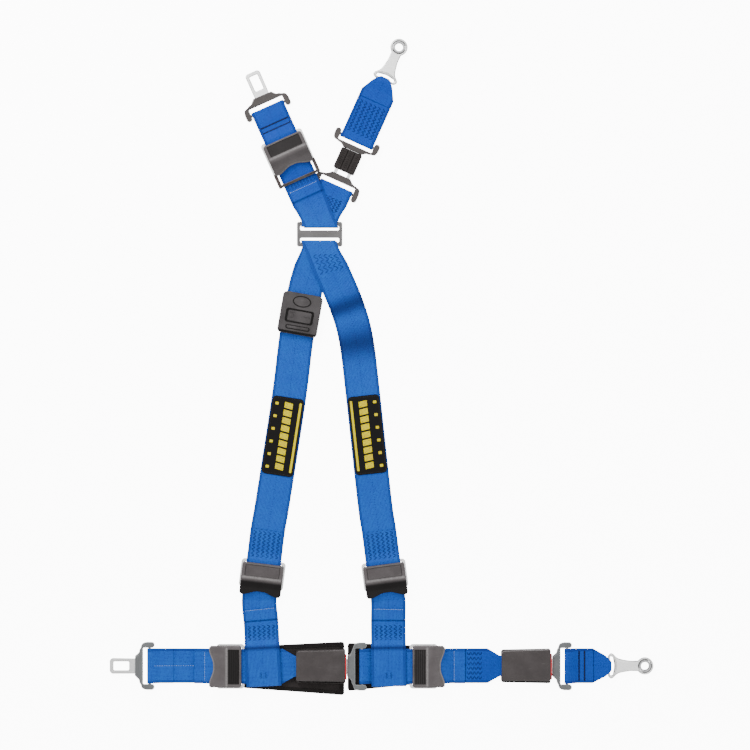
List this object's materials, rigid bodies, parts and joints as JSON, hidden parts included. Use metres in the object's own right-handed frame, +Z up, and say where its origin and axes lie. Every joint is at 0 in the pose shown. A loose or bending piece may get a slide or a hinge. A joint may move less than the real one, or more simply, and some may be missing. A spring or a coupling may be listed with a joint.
{
  "type": "racing harness",
  "caption": "Blue webbing racing harness laid flat: crossed shoulder straps on a yoke slide, lap belt with push-button buckles, lever adjusters, tongues and bolt-in eye plates.",
  "frame": {"origin": "middle of the laid-out harness, on the floor that it lies on", "axes": "+Y from the lap belt to the upper arms, +X to the wearer-side right anchor, +Z up from the floor"},
  "size_m": [0.783, 0.9458, 0.021],
  "materials": {
    "webbing": "woven, satin",
    "black_plastic": "fine grain",
    "grey_mould": "satin",
    "steel": "bright plated",
    "dark_steel": "plated, knurled where it grips",
    "patch": "smooth, matt",
    "pad": "woven, bound edges",
    "button_red": "smooth"
  },
  "bodies": {
    "harness": {"centre_tongue_mould": "grey_mould", "centre_tongue_plate": "steel", "label_block": "black_plastic", "lap_right_frame": "steel", "lap_right_slide_bar": "dark_steel", "link_block": "black_plastic", "link_low_frame": "black_plastic", "pad_right": "pad", "patch_left": "patch", "patch_right": "patch", "right_buckle_back": "black_plastic", "right_buckle_channel": "dark_steel", "right_buckle_front": "black_plastic", "right_buckle_latch": "steel", "shoulder_left_frame": "steel", "shoulder_left_slide_bar": "dark_steel", "shoulder_right_frame": "steel", "shoulder_right_slide_bar": "dark_steel", "upper_frame": "steel", "upper_slide_bar": "dark_steel", "web_lap_right_inner": "webbing", "web_lap_right_outer": "webbing", "web_shoulder_left": "webbing", "web_shoulder_lower_left": "webbing", "web_shoulder_lower_right": "webbing", "web_shoulder_right": "webbing", "web_upper_adjust": "webbing", "web_upper_link": "webbing", "web_upper_yoke": "webbing", "yoke_slide": "grey_mould"},
    "lap_left": {"centre_buckle_back": "black_plastic", "centre_buckle_front": "black_plastic", "centre_buckle_channel": "dark_steel", "centre_buckle_latch": "steel", "pad_left": "pad", "web_lap_left_inner": "webbing", "lap_left_frame": "steel", "lap_left_slide_bar": "dark_steel", "web_lap_left_end": "webbing"},
    "centre_button": {"centre_buckle_button": "button_red"},
    "right_button": {"right_buckle_button": "button_red"},
    "left_tongue": {"left_tongue_mould": "grey_mould", "left_tongue_plate": "steel"},
    "upper_tongue": {"upper_tongue_mould": "grey_mould", "upper_tongue_plate": "steel"},
    "right_anchor": {"right_tongue_mould": "grey_mould", "right_tongue_plate": "steel", "web_lap_anchor": "webbing"},
    "upper_anchor": {"link_tongue_mould": "black_plastic", "link_tongue_plate": "steel", "web_upper_anchor": "webbing"},
    "right_eye": {"right_eye_plate": "steel", "right_eye_bush": "dark_steel"},
    "upper_eye": {"upper_eye_plate": "steel", "upper_eye_bush": "dark_steel"},
    "shoulder_left_lever": {"shoulder_left_lever": "black_plastic"},
    "shoulder_right_lever": {"shoulder_right_lever": "black_plastic"},
    "upper_lever": {"upper_lever": "black_plastic"},
    "lap_left_lever": {"lap_left_lever": "black_plastic"},
    "lap_right_lever": {"lap_right_lever": "black_plastic"}
  },
  "joints": [
    {"name": "lap_left_release", "type": "slide", "parent": "harness", "child": "lap_left", "axis": [-1, 0, 0], "range_m": [0, 0.018]},
    {"name": "right_anchor_release", "type": "slide", "parent": "harness", "child": "right_anchor", "axis": [1, 0, 0], "range_m": [0, 0.04]},
    {"name": "upper_anchor_release", "type": "slide", "parent": "harness", "child": "upper_anchor", "axis": [0.4099, 0.9121, 0], "range_m": [0, 0.024]},
    {"name": "centre_button_press", "type": "slide", "parent": "lap_left", "child": "centre_button", "axis": [-1, 0, 0], "range_m": [0, 0.004], "stiffness_N_per_m": 300},
    {"name": "right_button_press", "type": "slide", "parent": "harness", "child": "right_button", "axis": [-1, 0, 0], "range_m": [0, 0.004], "stiffness_N_per_m": 300},
    {"name": "shoulder_left_lever_lift", "type": "hinge", "parent": "harness", "child": "shoulder_left_lever", "pos_m": [-0.17017, -0.2853, 0.0088], "axis": [-0.9925, 0.1219, 0], "range_deg": [0, 50]},
    {"name": "shoulder_right_lever_lift", "type": "hinge", "parent": "harness", "child": "shoulder_right_lever", "pos_m": [0.00289, -0.28632, 0.0088], "axis": [-0.9914, -0.1305, 0], "range_deg": [0, 50]},
    {"name": "upper_lever_lift", "type": "hinge", "parent": "harness", "child": "upper_lever", "pos_m": [-0.14253, 0.32497, 0.0164], "axis": [-0.9121, -0.4099, 0], "range_deg": [0, 50]},
    {"name": "lap_left_lever_lift", "type": "hinge", "parent": "lap_left", "child": "lap_left_lever", "pos_m": [-0.2039, -0.4303, 0.0132], "axis": [0, 1, 0], "range_deg": [0, 50]},
    {"name": "lap_right_lever_lift", "type": "hinge", "parent": "harness", "child": "lap_right_lever", "pos_m": [0.0469, -0.4303, 0.0132], "axis": [0, -1, 0], "range_deg": [0, 50]},
    {"name": "left_tongue_swing", "type": "hinge", "parent": "lap_left", "child": "left_tongue", "pos_m": [-0.3341, -0.4303, 0.0036], "axis": [0, 1, 0], "range_deg": [0, 75]},
    {"name": "upper_tongue_swing", "type": "hinge", "parent": "harness", "child": "upper_tongue", "pos_m": [-0.16364, 0.37194, 0.0036], "axis": [0.9121, 0.4099, 0], "range_deg": [0, 75]},
    {"name": "right_eye_swing", "type": "hinge", "parent": "right_anchor", "child": "right_eye", "pos_m": [0.3274, -0.4303, 0.0036], "axis": [0, -1, 0], "range_deg": [0, 75]},
    {"name": "upper_eye_swing", "type": "hinge", "parent": "upper_anchor", "child": "upper_eye", "pos_m": [0.00385, 0.41335, 0.0036], "axis": [0.9121, -0.4099, 0], "range_deg": [0, 75]}
  ]
}
